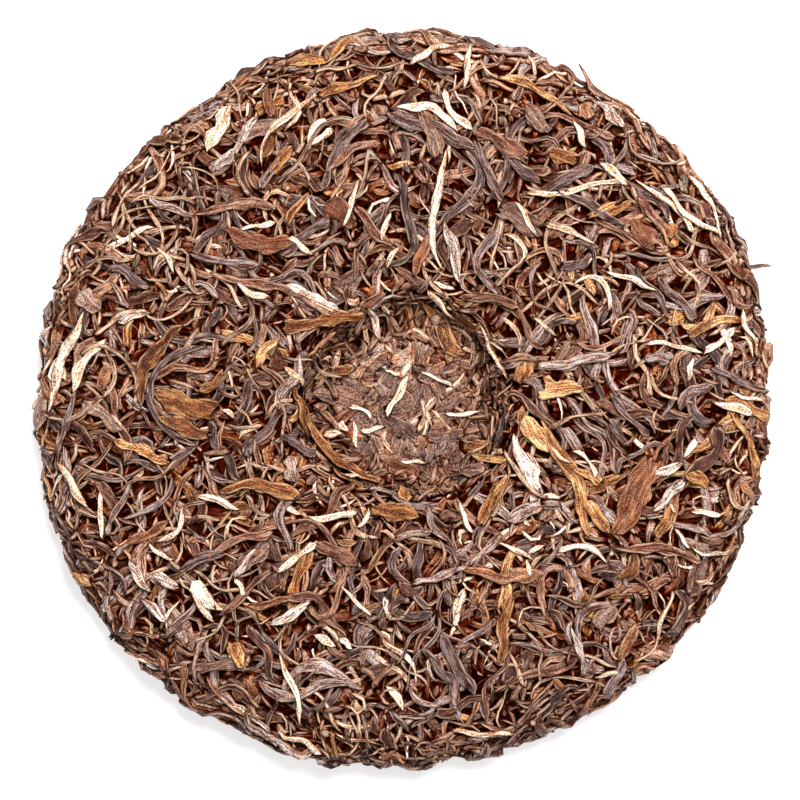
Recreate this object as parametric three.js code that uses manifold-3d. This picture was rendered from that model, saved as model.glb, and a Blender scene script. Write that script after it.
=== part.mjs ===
// A pressed pu-erh tea cake: one round disc of twisted and folded tea leaves. It lies on its domed
// face, and the dimple that the knot of the pressing bag leaves in its back faces up.
// Millimetres, +Z up, the origin on the resting face under the middle of the cake.

import * as THREE from "three";
import { mergeVertices } from "three/addons/utils/BufferGeometryUtils.js";
import Module from "manifold-3d";

// The cake's outer skin, which the tops of the leaves reach.
const CAKE_RADIUS = 100;
const CAKE_HEIGHT = 25;
const RIM_LEVEL = 10.5; // height of the widest ring above the resting face
const REST_RADIUS = 52; // flat middle of the domed face
const SHOULDER_RADIUS = 66; // where the back starts to round down to the rim
const SHOULDER_POWER = 2.3; // 2 is an ellipse, more is squarer
const UNDERSIDE_POWER = 2;
const DIMPLE_DEPTH = 8.5;
const DIMPLE_FLOOR_RADIUS = 19.5;
const DIMPLE_LIP_RADIUS = 30;
const PLATEAU_RISE = 0.8; // the back is this much higher half way out than at its edges
const CORE_INSET = 1.8; // the leaves stand out of a core that lies this far inside the skin

// The outline isn't a true circle: [waves round the cake, height in mm, angle of a crest in degrees].
const OUTLINE_WAVES = [
  [2, 0.9, 36],
  [3, 0.25, -25],
  [5, 0.4, 25],
  [6, 0.45, 30],
];
const DIMPLE_WAVES = [
  [2, 0.8, 20],
  [3, 0.9, 75],
];

// The core's own bumps, about as high as a leaf is thick.
const CORE_SEGMENTS = 40;
const CORE_RINGS = { dimple: 3, plateau: 4, shoulder: 5, underside: 5 };
const CORE_BUMP = 0.7;
const CORE_BUMP_RADIUS = 30; // nearer the middle than this the bumps fade out

// Leaves that stand out in the back by their size: middle, heading in degrees, length, width and
// the angle through which the leaf bends from end to end.
const LARGE_LEAVES = [
  { x: 11, y: 50, heading: 87, length: 34, width: 3.8, bend: -8 },
  { x: 15, y: 39, heading: -74, length: 20, width: 3.6, bend: 10 },
  { x: 8, y: 73, heading: -22, length: 25, width: 4.8, bend: -10 },
  { x: 22, y: 62, heading: -62, length: 19, width: 4.2, bend: -15 },
  { x: 32, y: 68, heading: -32, length: 30, width: 4.6, bend: -12 },
  { x: 7, y: 79, heading: -18, length: 19, width: 3.2, bend: -55 },
  { x: -49, y: 74, heading: 64, length: 16, width: 6.4, bend: 12 },
  { x: 41, y: -14, heading: -56, length: 36, width: 4.6, bend: 18 },
  { x: 61, y: -25, heading: 62, length: 24, width: 6, bend: 16 },
  { x: 43, y: 3, heading: 4, length: 13, width: 5.6, bend: 0 },
  { x: 46, y: 11, heading: 10, length: 20, width: 3.8, bend: 14 },
  { x: -68, y: 9, heading: -110, length: 30, width: 4.4, bend: 75 },
  { x: -92, y: 11, heading: 68, length: 30, width: 4, bend: 20 },
  { x: -81, y: -4, heading: -36, length: 14, width: 4.4, bend: 6 },
  { x: -70, y: -13, heading: -22, length: 17, width: 4.2, bend: 8 },
  { x: -58, y: -2, heading: -12, length: 18, width: 8, bend: 8 },
  { x: 26, y: -47, heading: -3, length: 21, width: 4, bend: 22 },
  { x: 14, y: -72, heading: -62, length: 20, width: 4, bend: -12 },
  { x: -16, y: -12, heading: -48, length: 27, width: 4.4, bend: 26 },
  { x: -21, y: 23, heading: 11, length: 23, width: 4, bend: -14 },
];

// The other leaves are spread evenly over the cake, each with its own size, heading and bend.
const SCATTER_SEED = 357;
const BACK_LEAVES = 92;
const UNDERSIDE_LEAVES = 44;
const LEAF_LENGTH = [16, 36];
const LEAF_WIDTH = [3.4, 7.6];
const LEAF_BEND = 95; // the most that one bends either way, in degrees
const LEAF_LIFT = [1.2, 2.4]; // height of its crown above the core
const LEAF_TILT = 0.5; // one side of a leaf is up to this share higher than its middle
const LARGE_LEAF_LIFT = 2.4;
const GOLDEN_ANGLE = Math.PI * (3 - Math.sqrt(5));
const SCATTER_JITTER = 3;
const UNDERSIDE_START = 65; // leaves nearer the middle of the domed face are pressed flat
const RIM_BAND = 14; // in this band next to the rim the leaves lie along it
const RIM_SWING = 35; // to within this many degrees

// A leaf's section is a low mound: a tilted top with steep sides that go down into the core.
const ROOT_DEPTH = 2.4;
const ROOT_SPREAD = 0.25; // how far the foot of each side stands out past the leaf's half width
const TOP_SHARE = 0.72; // the top's width, as a share of the leaf's
const TIP_DEPTH = 0.7;
const LONG_LEAF = 27; // a leaf at least this long has one section more
const TIP_BLUNTNESS = 0.6;

const SAMPLES = 90; // profile samples in each stretch of the skin
const WELD = 1e-3; // vertices nearer than this are one
const SIMPLIFY = 0.1; // the fused surface may move by this much where that saves faces
const LEAF_BROWN = 0x6f4d3c;

// A repeatable draw between 0 and 1.
function seededDraw(seed) {
  let state = seed >>> 0;
  return () => {
    state = (state + 0x6d2b79f5) >>> 0;
    let t = Math.imul(state ^ (state >>> 15), state | 1);
    t ^= t + Math.imul(t ^ (t >>> 7), t | 61);
    return ((t ^ (t >>> 14)) >>> 0) / 4294967296;
  };
}

function between(range, share) {
  return range[0] + (range[1] - range[0]) * share;
}

function waves(list, angle) {
  return list.reduce(
    (sum, [count, height, crest]) =>
      sum + height * Math.cos(count * (angle - THREE.MathUtils.degToRad(crest))),
    0,
  );
}

// The skin's profile, [radius, height], from the middle of the dimple out over the back, round the
// rim and under to the middle of the resting face. steps gives the points in each stretch.
function skinProfile(steps) {
  const points = [];
  const plateau = (r) => {
    const share = (r - DIMPLE_LIP_RADIUS) / (SHOULDER_RADIUS - DIMPLE_LIP_RADIUS);
    return CAKE_HEIGHT - PLATEAU_RISE * (1 - Math.sin(Math.PI * share));
  };
  const floor = plateau(DIMPLE_LIP_RADIUS) - DIMPLE_DEPTH;
  for (let i = 0; i < steps.dimple; i++) {
    points.push([(DIMPLE_FLOOR_RADIUS * i) / steps.dimple, floor]);
  }
  for (let i = 0; i < steps.dimple; i++) {
    const share = i / steps.dimple;
    const r = THREE.MathUtils.lerp(DIMPLE_FLOOR_RADIUS, DIMPLE_LIP_RADIUS, share);
    points.push([r, floor + DIMPLE_DEPTH * THREE.MathUtils.smoothstep(share, 0, 1)]);
  }
  for (let i = 0; i < steps.plateau; i++) {
    const r = THREE.MathUtils.lerp(DIMPLE_LIP_RADIUS, SHOULDER_RADIUS, i / steps.plateau);
    points.push([r, plateau(r)]);
  }
  const shoulder = plateau(SHOULDER_RADIUS);
  for (let i = 0; i < steps.shoulder; i++) {
    const turn = (Math.PI / 2) * (i / steps.shoulder);
    const across = Math.sin(turn) ** (2 / SHOULDER_POWER);
    const up = Math.cos(turn) ** (2 / SHOULDER_POWER);
    points.push([
      THREE.MathUtils.lerp(SHOULDER_RADIUS, CAKE_RADIUS, across),
      THREE.MathUtils.lerp(RIM_LEVEL, shoulder, up),
    ]);
  }
  for (let i = 0; i < steps.underside; i++) {
    const turn = (Math.PI / 2) * (1 - i / steps.underside);
    const across = Math.sin(turn) ** (2 / UNDERSIDE_POWER);
    const up = 1 - Math.cos(turn) ** (2 / UNDERSIDE_POWER);
    points.push([THREE.MathUtils.lerp(REST_RADIUS, CAKE_RADIUS, across), RIM_LEVEL * up]);
  }
  points.push([REST_RADIUS, 0], [0, 0]);
  return points;
}

// Looks up the skin by the distance walked along its profile.
function skinWalk() {
  const steps = { dimple: SAMPLES, plateau: SAMPLES, shoulder: SAMPLES, underside: SAMPLES };
  const points = skinProfile(steps);
  const walked = [0];
  for (let i = 1; i < points.length; i++) {
    const [dr, dz] = [points[i][0] - points[i - 1][0], points[i][1] - points[i - 1][1]];
    walked.push(walked[i - 1] + Math.hypot(dr, dz));
  }
  const total = walked[walked.length - 1];
  const at = (distance) => {
    const d = THREE.MathUtils.clamp(distance, 0, total - 1e-6);
    let i = 1;
    while (walked[i] < d) i++;
    const share = (d - walked[i - 1]) / (walked[i] - walked[i - 1]);
    const [r0, z0] = points[i - 1];
    const [r1, z1] = points[i];
    const length = Math.hypot(r1 - r0, z1 - z0);
    return {
      r: THREE.MathUtils.lerp(r0, r1, share),
      z: THREE.MathUtils.lerp(z0, z1, share),
      outward: -(z1 - z0) / length,
      upward: (r1 - r0) / length,
    };
  };
  const rim = walked[points.findIndex(([r]) => r === CAKE_RADIUS)];
  return { at, rim, total };
}

// Bends the round form into the real one: an uneven outline and an uneven dimple.
function unround(r, z, angle) {
  const outline = waves(OUTLINE_WAVES, angle) * (r / CAKE_RADIUS) ** 2;
  const nearDimple = Math.exp(-(((r - DIMPLE_LIP_RADIUS + 4) / 12) ** 2));
  const reach = r + outline + waves(DIMPLE_WAVES, angle) * nearDimple * (z > RIM_LEVEL ? 1 : 0);
  return new THREE.Vector3(reach * Math.cos(angle), reach * Math.sin(angle), z);
}

// A point over the core, at a spot of the flattened back or underside.
function overCore(walk, spot, lift, under) {
  const distance = Math.hypot(spot.x, spot.y);
  const skin = walk.at(under ? walk.total - distance : distance);
  const out = lift - CORE_INSET;
  const z = Math.max(skin.z + skin.upward * out, under ? 0 : -Infinity);
  return unround(skin.r + skin.outward * out, z, Math.atan2(spot.y, spot.x));
}

function solidFrom(wasm, geometry) {
  geometry.deleteAttribute("normal");
  geometry.deleteAttribute("uv");
  const merged = mergeVertices(geometry, WELD);
  return new wasm.Manifold(
    new wasm.Mesh({
      numProp: 3,
      vertProperties: merged.attributes.position.array,
      triVerts: new Uint32Array(merged.index.array),
    }),
  );
}

// The body of pressed leaf that the showing leaves are part of, with bumps all over but its foot.
function coreSolid(wasm, draw) {
  const inside = skinProfile(CORE_RINGS).map(([r, z], i, all) => {
    const [r0, z0] = all[Math.max(i - 1, 0)];
    const [r1, z1] = all[Math.min(i + 1, all.length - 1)];
    const length = Math.hypot(r1 - r0, z1 - z0);
    if (z === 0) return new THREE.Vector2(r, z);
    return new THREE.Vector2(
      r === 0 ? 0 : r + ((z1 - z0) / length) * CORE_INSET,
      z - ((r1 - r0) / length) * CORE_INSET,
    );
  });
  const geometry = new THREE.LatheGeometry(inside.reverse(), CORE_SEGMENTS);
  geometry.rotateX(Math.PI / 2);
  const place = geometry.attributes.position;
  const bumps = new Map();
  for (let i = 0; i < place.count; i++) {
    const [x, y, z] = [place.getX(i), place.getY(i), place.getZ(i)];
    const r = Math.hypot(x, y);
    const key = [x, y, z].map((value) => Math.round(value * 100)).join();
    if (!bumps.has(key)) bumps.set(key, draw() * 2 - 1);
    const size = CORE_BUMP * Math.min(1, r / CORE_BUMP_RADIUS);
    const bump = z > 0 ? bumps.get(key) * size : 0;
    const spot = unround(r + bump, z + Math.abs(bump), Math.atan2(y, x));
    place.setXYZ(i, spot.x, spot.y, spot.z);
  }
  return solidFrom(wasm, geometry);
}

// One leaf: a bent strip, pointed at both ends, that stands out of the core and is rooted in it.
function leafSolid(wasm, walk, leaf, under) {
  const sections = leaf.length >= LONG_LEAF ? 4 : 3;
  const heading = (t) => THREE.MathUtils.degToRad(leaf.heading + leaf.bend * t);
  const spotAt = (t) => {
    const halfTurn = heading(t / 2);
    const spot = new THREE.Vector2(leaf.x, leaf.y);
    const along = new THREE.Vector2(Math.cos(halfTurn), Math.sin(halfTurn));
    return spot.addScaledVector(along, leaf.length * t);
  };
  const vertices = [overCore(walk, spotAt(-0.5), -TIP_DEPTH, under)];
  for (let i = 1; i <= sections; i++) {
    const t = i / (sections + 1) - 0.5;
    const half = (leaf.width / 2) * Math.cos(Math.PI * t) ** TIP_BLUNTNESS;
    const side = new THREE.Vector2(-Math.sin(heading(t)), Math.cos(heading(t)));
    const lifts = [
      [half * TOP_SHARE, leaf.lift * (1 + leaf.tilt)],
      [-half * TOP_SHARE, leaf.lift * (1 - leaf.tilt)],
      [-half - ROOT_SPREAD, -ROOT_DEPTH],
      [half + ROOT_SPREAD, -ROOT_DEPTH],
    ];
    for (const [offset, lift] of lifts) {
      vertices.push(overCore(walk, spotAt(t).addScaledVector(side, offset), lift, under));
    }
  }
  vertices.push(overCore(walk, spotAt(0.5), -TIP_DEPTH, under));
  const faces = [];
  const last = vertices.length - 1;
  for (let k = 0; k < 4; k++) {
    const next = (k + 1) % 4;
    faces.push([0, 1 + next, 1 + k]);
    for (let i = 0; i < sections - 1; i++) {
      const [here, there] = [1 + i * 4, 5 + i * 4];
      faces.push([here + k, there + next, there + k], [here + k, here + next, there + next]);
    }
    faces.push([last, last - 4 + k, last - 4 + next]);
  }
  if (under) faces.forEach((face) => face.reverse());
  const geometry = new THREE.BufferGeometry().setFromPoints(vertices);
  geometry.setIndex(faces.flat());
  return solidFrom(wasm, geometry);
}

// Leaves on a sunflower spiral over one face of the cake, from its middle or from a start radius.
function scatteredLeaves(draw, count, start, end) {
  const leaves = [];
  for (let k = 0; k < count; k++) {
    const share = (k + 0.5) / count;
    const distance = Math.sqrt(start ** 2 + (end ** 2 - start ** 2) * share);
    const angle = k * GOLDEN_ANGLE;
    const nearRim = distance > end - RIM_BAND;
    const size = draw();
    leaves.push({
      x: distance * Math.cos(angle) + (draw() * 2 - 1) * SCATTER_JITTER,
      y: distance * Math.sin(angle) + (draw() * 2 - 1) * SCATTER_JITTER,
      heading: nearRim
        ? THREE.MathUtils.radToDeg(angle) + 90 + (draw() * 2 - 1) * RIM_SWING
        : draw() * 180,
      length: between(LEAF_LENGTH, size),
      width: between(LEAF_WIDTH, draw() ** 2),
      bend: (draw() * 2 - 1) * LEAF_BEND,
      lift: between(LEAF_LIFT, draw()),
      tilt: (draw() * 2 - 1) * LEAF_TILT,
    });
  }
  return leaves;
}

// Fills any pocket that the fusing sealed and drops loose scraps, which leaves the one outer body.
function outerBody(solid) {
  return solid.decompose().reduce((best, body) => (body.volume() > best.volume() ? body : best));
}

function geometryOf(solid) {
  const mesh = solid.getMesh();
  const geometry = new THREE.BufferGeometry();
  geometry.setAttribute("position", new THREE.BufferAttribute(mesh.vertProperties, 3));
  geometry.setIndex(new THREE.BufferAttribute(mesh.triVerts, 1));
  geometry.computeVertexNormals();
  return geometry;
}

function teaCake(wasm) {
  const draw = seededDraw(SCATTER_SEED);
  const walk = skinWalk();
  const core = coreSolid(wasm, draw);
  const back = [
    ...scatteredLeaves(draw, BACK_LEAVES, 0, walk.rim),
    ...LARGE_LEAVES.map((leaf) => ({ ...leaf, lift: LARGE_LEAF_LIFT, tilt: 0 })),
  ];
  const rimBelow = walk.total - walk.rim;
  const underside = scatteredLeaves(draw, UNDERSIDE_LEAVES, UNDERSIDE_START, rimBelow);
  const leaves = [
    ...back.map((leaf) => leafSolid(wasm, walk, leaf, false)),
    ...underside.map((leaf) => leafSolid(wasm, walk, leaf, true)),
  ];
  const fused = wasm.Manifold.union([core, ...leaves]);
  const material = new THREE.MeshStandardMaterial({
    color: LEAF_BROWN,
    roughness: 0.72,
    metalness: 0,
    flatShading: true,
  });
  const mesh = new THREE.Mesh(geometryOf(outerBody(fused.simplify(SIMPLIFY))), material);
  mesh.name = "tea_cake";
  return mesh;
}

const wasm = await Module();
wasm.setup();
const cake = new THREE.Group();
cake.add(teaCake(wasm));

export default cake;
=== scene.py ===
"""A pressed pu-erh tea cake: twisted, folded and flat tea leaves piled on a dark core and pressed into one
round disc, seen from straight above with the dimple of its back up.

The leaves are laid one after another on a flattened copy of the cake's back or underside. Each one drapes
over what lies there already. Then the whole pile is pressed: its heights are taken from the pile's own
mean surface and squeezed, and the flat picture is bent round the cake's skin.
Lengths are in millimetres until the meshes are written.
"""

from collections import namedtuple

import bpy
import numpy as np
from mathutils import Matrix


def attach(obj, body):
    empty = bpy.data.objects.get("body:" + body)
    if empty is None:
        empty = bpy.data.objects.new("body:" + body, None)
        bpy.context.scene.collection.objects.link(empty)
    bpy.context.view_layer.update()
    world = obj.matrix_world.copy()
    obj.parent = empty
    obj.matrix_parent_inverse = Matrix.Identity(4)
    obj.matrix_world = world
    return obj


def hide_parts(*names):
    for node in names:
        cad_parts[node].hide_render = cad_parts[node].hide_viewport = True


MM = 0.001
CAKE_NODE = "tea_cake"

# The cake's outer skin, as in the CAD model.
CAKE_RADIUS = 100
CAKE_HEIGHT = 25
RIM_LEVEL = 10.5
REST_RADIUS = 52
SHOULDER_RADIUS = 66
SHOULDER_POWER = 2.3
DIMPLE_DEPTH = 8.5
DIMPLE_FLOOR_RADIUS = 19.5
DIMPLE_LIP_RADIUS = 30
PLATEAU_RISE = 0.8
# A wave is how many crests go round the cake, their height and the plan angle of one of them.
OUTLINE_WAVES = ((2, 0.9, 36), (3, 0.25, -25), (5, 0.4, 25), (6, 0.45, 30))
DIMPLE_WAVES = ((2, 0.8, 20), (3, 0.9, 75))
WAVY_RADIUS = 26  # the dimple's waves are highest here
WAVY_WIDTH = 12
PROFILE_SAMPLES = 120

# The pile's height map.
CELL = 0.4
RIM_OVERLAP = 24  # each flattened face goes on this far past the rim
FACE_MARGIN = 2  # the outermost ring of a face stays out of its mean
SEEN_DEPTH = 0.2  # a point shows unless the pile reaches more than this above it
SEEN_SHARE = 0.05  # leaves that show less than this are left out
MEAN_SPREAD = 6.0  # radius over which the pile's mean surface is taken
CLOSE_SPREAD = 1.3  # the same, for how sunk a point is among its neighbours
CLOSE_SHARE = 1.2  # how much that counts, next to its height above the mean surface

# The press.
SQUEEZE = 0.62  # how far the leaves stay apart when pressed
RELIEF = 0.8  # and how thick they stay
PRESSED_PEAK = 1.9  # they lie at most about this far above the mean surface
PRESSED_DEPTH = 2.2  # and this far under it
SURFACE_LEVEL = -2.1  # the mean surface, seen from the skin
FLAKE_RADIUS = 23.5  # the dimple's floor is a mosaic of flat flakes out to here
FLAKE_BLEND = 6  # and the press changes from theirs to the loose leaves' over this width
FLOOR_BED = 6.5  # the flakes start this high above where the loose leaves start
FLOOR_BED_MARGIN = 2  # their bed goes this far past them
FLOOR_BED_SLOPE = 8  # and then falls off over this width
FLOOR_SQUEEZE = 0.5  # heights on that floor, as a share of those outside it
FLOOR_CALM = 0.6  # how much of the painted shade between leaves shows on that floor
GROOVE_RADIUS = 23.2  # a groove runs round that floor, dark with painted shade
GROOVE_WIDTH = 3.6
GROOVE_DROP = 1.5
GROOVE_SHADE = 0.6  # and gets painted shade as if it lay this much deeper
GROOVE_WAVES = ((1, 0.25, 100), (2, 0.3, 110), (3, 0.35, -30))
FLOOR_SOFTNESS = 0.3  # how gently leaves flatten against what the cake rests on

SEED = 357

# What a leaf of each kind is like. length, width and thick are ranges. bend is about how far it turns from
# end to end, and wave how far it swings, in degrees. ends are the powers of its tips, from pointed to cut
# off, and blunt rounds them. edge is the power of its sides. wrinkle, fold, curl and twist shape its
# section, and points is how many points that has.
Kind = namedtuple("Kind", "length width bend wave thick ends blunt edge wrinkle fold curl twist points")
STRIP_ENDS = (2.2, 3.5, 7, 150)
BUD_ENDS = (1.8, 3, 14)
TORN_ENDS = (3, 5, 150, 150)
KIND_ROWS = {
    "taupe_strips": ((8, 34), (1.3, 3.9), 170, 30, (0.8, 1.4), STRIP_ENDS, 0.6, 2.4, 0.4, 0.25, 0, 0.5, 9),
    "umber_strips": (
        (7, 30), (1.3, 4.1), 150, 30, (0.8, 1.3), STRIP_ENDS, 0.7, 2.6, 0.4, 0.4, 0.05, 0.5, 9,
    ),
    "rust_leaves": (
        (6, 24), (1.8, 4.9), 80, 20, (0.6, 1), (2.5, 4, 6, 150), 0.75, 3.4, 0.34, 0.5, 0.16, 0.3, 9,
    ),
    "broad_leaves": ((8, 20), (3.6, 7), 36, 10, (0.5, 0.9), TORN_ENDS, 0.65, 5, 0.4, 0.45, 0.18, 0.2, 11),
    "gold_leaves": ((6, 24), (1.6, 4.8), 80, 22, (0.5, 0.9), (2, 4, 150), 0.7, 4, 0.4, 0.4, 0.18, 0.25, 9),
    "pale_buds": ((5, 19), (0.8, 2.2), 150, 26, (0.8, 1.2), BUD_ENDS, 0.85, 2.2, 0.25, 0.15, 0, 0.35, 7),
    "silver_leaves": ((6, 20), (1.4, 3.6), 80, 18, (0.7, 1.1), BUD_ENDS, 0.85, 2.8, 0.4, 0.3, 0.1, 0.3, 9),
    "stems": ((9, 32), (0.8, 1.5), 200, 26, (0.8, 1.1), (5, 150), 0.5, 2, 0.12, 0, 0, 0, 6),
    "leaf_bits": (
        (1.5, 8), (0.6, 2.4), 110, 0, (0.5, 1), (3, 8, 150, 150), 0.45, 2.6, 0.3, 0.2, 0, 0.3, 4,
    ),
    "floor_flakes": ((4, 12), (2.4, 5.6), 30, 8, (0.2, 0.4), TORN_ENDS, 0.5, 6, 0.5, 0.2, 0, 0, 7),
}
KINDS = {name: Kind(*row) for name, row in KIND_ROWS.items()}
MOST_POINTS = max(kind.points for kind in KINDS.values())

rng = np.random.default_rng(SEED)


# The skin


def waves(terms, angle):
    return sum(height * np.cos(count * (angle - np.radians(crest))) for count, height, crest in terms)


def smoothstep(share):
    share = np.clip(share, 0, 1)
    return share * share * (3 - 2 * share)


class Skin:
    """The cake's profile, looked up by the distance walked along it from the middle of the dimple."""

    def __init__(self):
        share = np.linspace(0, 1, PROFILE_SAMPLES, endpoint=False)
        turn = share * np.pi / 2

        def plateau(r):
            way = (r - DIMPLE_LIP_RADIUS) / (SHOULDER_RADIUS - DIMPLE_LIP_RADIUS)
            return CAKE_HEIGHT - PLATEAU_RISE * (1 - np.sin(np.pi * way))

        floor = plateau(DIMPLE_LIP_RADIUS) - DIMPLE_DEPTH
        shoulder = plateau(SHOULDER_RADIUS)
        wall = DIMPLE_FLOOR_RADIUS + (DIMPLE_LIP_RADIUS - DIMPLE_FLOOR_RADIUS) * share
        flat = DIMPLE_LIP_RADIUS + (SHOULDER_RADIUS - DIMPLE_LIP_RADIUS) * share
        across, up = np.sin(turn) ** (2 / SHOULDER_POWER), np.cos(turn) ** (2 / SHOULDER_POWER)
        radius = [
            DIMPLE_FLOOR_RADIUS * share,
            wall,
            flat,
            SHOULDER_RADIUS + (CAKE_RADIUS - SHOULDER_RADIUS) * across,
            REST_RADIUS + (CAKE_RADIUS - REST_RADIUS) * np.cos(turn),
            REST_RADIUS * (1 - np.append(share, 1)),
        ]
        height = [
            np.full_like(share, floor),
            floor + DIMPLE_DEPTH * smoothstep(share),
            plateau(flat),
            RIM_LEVEL + (shoulder - RIM_LEVEL) * up,
            RIM_LEVEL * (1 - np.sin(turn)),
            np.zeros(PROFILE_SAMPLES + 1),
        ]
        self.radius, self.height = np.concatenate(radius), np.concatenate(height)
        step_r, step_z = np.diff(self.radius), np.diff(self.height)
        self.walked = np.append(0, np.cumsum(np.hypot(step_r, step_z)))
        self.total = self.walked[-1]
        self.widest = np.argmax(self.radius)
        self.rim = self.walked[self.widest]
        out, up = np.gradient(self.radius, self.walked), np.gradient(self.height, self.walked)
        size = np.hypot(out, up)
        self.outward, self.upward = -up / size, out / size

    def place(self, x, y, rise, under):
        """Points at spots of the flattened back or underside, rise above the skin."""
        distance = np.hypot(x, y)
        walk = self.total - distance if under else distance
        radius, height, outward, upward = (
            np.interp(walk, self.walked, values)
            for values in (self.radius, self.height, self.outward, self.upward)
        )
        angle = np.arctan2(y, x)
        radius = radius + outward * rise
        height = height + upward * rise
        near_dimple = np.exp(-(((radius - WAVY_RADIUS) / WAVY_WIDTH) ** 2)) * (height > RIM_LEVEL)
        reach = radius + waves(OUTLINE_WAVES, angle) * (radius / CAKE_RADIUS) ** 2
        reach = reach + waves(DIMPLE_WAVES, angle) * near_dimple
        height = FLOOR_SOFTNESS * np.logaddexp(0, height / FLOOR_SOFTNESS)
        return np.stack([reach * np.cos(angle), reach * np.sin(angle), height], axis=-1)

    def flattened(self, x, y):
        """The spot of the flattened back that lies under a point of the plan."""
        angle, radius = np.arctan2(y, x), np.hypot(x, y)
        radius = radius - waves(OUTLINE_WAVES, angle) * (radius / CAKE_RADIUS) ** 2
        back = slice(0, self.widest + 1)
        walk = np.interp(radius, self.radius[back], self.walked[back])
        return walk * np.cos(angle), walk * np.sin(angle)


# The pile


class Pile:
    """How high what lies on the core reaches so far, over one flattened face of the cake."""

    def __init__(self, reach):
        self.reach = reach
        self.size = int(np.ceil(2 * reach / CELL)) + 2
        self.top = np.zeros((self.size, self.size))

    def cells(self, x, y):
        return (np.clip((value + self.reach) / CELL, 0, self.size - 1.001) for value in (x, y))

    def distances(self):
        axis = (np.arange(self.size) - (self.size - 1) / 2) * CELL
        return np.hypot(axis[:, None], axis[None, :])

    def nearest(self, x, y):
        return tuple(np.rint(place).astype(int) for place in self.cells(x, y))

    def read(self, x, y):
        return self.top[self.nearest(x, y)]

    def stamp(self, x, y, top):
        np.maximum.at(self.top, self.nearest(x, y), top)

    def seen_share(self, x, y, top):
        """The share of a leaf's points that nothing covers."""
        return np.mean(top > self.read(x, y) - SEEN_DEPTH)

    def blurred(self, spread):
        """The pile's tops, blurred over spread, as a function of place."""
        distance = self.distances()
        blur = np.exp(-0.5 * (distance / spread) ** 2)
        blur = np.fft.rfft2(np.fft.ifftshift(blur))
        inside = (distance < self.reach - FACE_MARGIN).astype(float)
        total = np.fft.irfft2(np.fft.rfft2(self.top * inside) * blur, s=self.top.shape)
        weight = np.fft.irfft2(np.fft.rfft2(inside) * blur, s=self.top.shape)
        mean = total / np.maximum(weight, 1e-6 * weight.max())

        def at(x, y):
            column, row = self.cells(x, y)
            i, j = column.astype(int), row.astype(int)
            across, down = column - i, row - j
            low = mean[i, j] * (1 - across) + mean[i + 1, j] * across
            high = mean[i, j + 1] * (1 - across) + mean[i + 1, j + 1] * across
            return low * (1 - down) + high * down

        return at


def floor_bed(distance):
    """How high the bed under the dimple's flakes reaches, at a distance from the middle."""
    return FLOOR_BED * (1 - smoothstep((distance - FLAKE_RADIUS - FLOOR_BED_MARGIN) / FLOOR_BED_SLOPE))


class Cake:
    """Both flattened faces. What is laid on one is also felt by the other where they overlap at the rim."""

    def __init__(self):
        self.skin = Skin()
        self.back = Pile(self.skin.rim + RIM_OVERLAP)
        self.back.top = floor_bed(self.back.distances())
        self.underside = Pile(self.skin.total - self.skin.rim + RIM_OVERLAP)

    def face(self, under):
        return self.underside if under else self.back

    def stamp(self, x, y, top, under):
        self.face(under).stamp(x, y, top)
        distance = np.hypot(x, y)
        other = self.face(not under)
        beyond = self.skin.total - distance
        near = beyond < other.reach - 1
        if near.any():
            scale = beyond[near] / distance[near]
            other.stamp(x[near] * scale, y[near] * scale, top[near])


# Leaves


Leaf = namedtuple("Leaf", "x y heading length width bend")
Part = namedtuple("Part", "points loops sizes under")
PATTERNS = {}


def strip_pattern(stations, around):
    """Vertex numbers of the faces of a strip: quads from station to station, and a cap at each end."""
    if (stations, around) not in PATTERNS:
        start = np.arange(stations - 1)[:, None] * around + np.arange(around)[None, :]
        turned = np.arange(stations - 1)[:, None] * around + (np.arange(around) + 1)[None, :] % around
        quads = np.stack([start, start + around, turned + around, turned], axis=-1).reshape(-1)
        first = np.arange(around)
        last = (stations - 1) * around + np.arange(around)[::-1]
        loops = np.concatenate([quads, first, last])
        sizes = np.array([4] * ((stations - 1) * around) + [around] * 2)
        PATTERNS[stations, around] = loops, sizes
    return PATTERNS[stations, around]


def leaf_path(leaf, wave, stations):
    t = np.linspace(-0.5, 0.5, stations)
    phase, turns = rng.uniform(0, 2 * np.pi), rng.uniform(*WAVE_TURNS)
    swing = np.radians(wave) * np.sin(2 * np.pi * turns * t + phase)
    heading = np.radians(leaf.heading + leaf.bend * t) + swing
    between = (heading[1:] + heading[:-1]) / 2
    step = leaf.length / (stations - 1)
    x = np.append(0, np.cumsum(np.cos(between))) * step
    y = np.append(0, np.cumsum(np.sin(between))) * step
    middle = (stations - 1) / 2
    low, high = int(np.floor(middle)), int(np.ceil(middle))
    return t, heading, x + leaf.x - (x[low] + x[high]) / 2, y + leaf.y - (y[low] + y[high]) / 2


def smoothed(values, rounds):
    for _ in range(rounds):
        padded = np.concatenate([values[:1], values, values[-1:]])
        values = (padded[:-2] + 2 * padded[1:-1] + padded[2:]) / 4
    return values


WAVE_TURNS = (0.8, 1.8)  # how often a leaf winds from end to end
TWIST_TURNS = (0.4, 1.2)  # and how often it rolls over
BITE = 0.15  # a leaf may press this far into what it lies on
STIFF_ROUNDS = 2
FINER = 3  # how many rows of spots a leaf feels for each of its stations
FEELERS = np.array([-0.85, -0.45, 0, 0.45, 0.85])  # and where they are across its half width
FEELER_SPAN = 1.3  # from the middle of the two on the left to that of the two on the right
LEAST_SPAN = 0.3
MOST_SLOPE = 0.5
STATION_STEP = 2.0
STEP_COUNTS = (3, 22)
TIP_PLACE = 0.99  # the taper stops just short of the tip
TIP_WIDTH = 0.02
UNEVEN = 0.4  # how much a leaf's half widths vary
UNEVEN_RANGE = (0.5, 1.5)
WRINKLE_SIZE = 1.8
DRIFT = 0.3  # the crease winds, and lies off the middle, by up to this share of the half width
DRIFT_LENGTH = 5
CREASE_WIDTH = 0.25
SECTION_RANGE = (0.15, 1.8)
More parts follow.
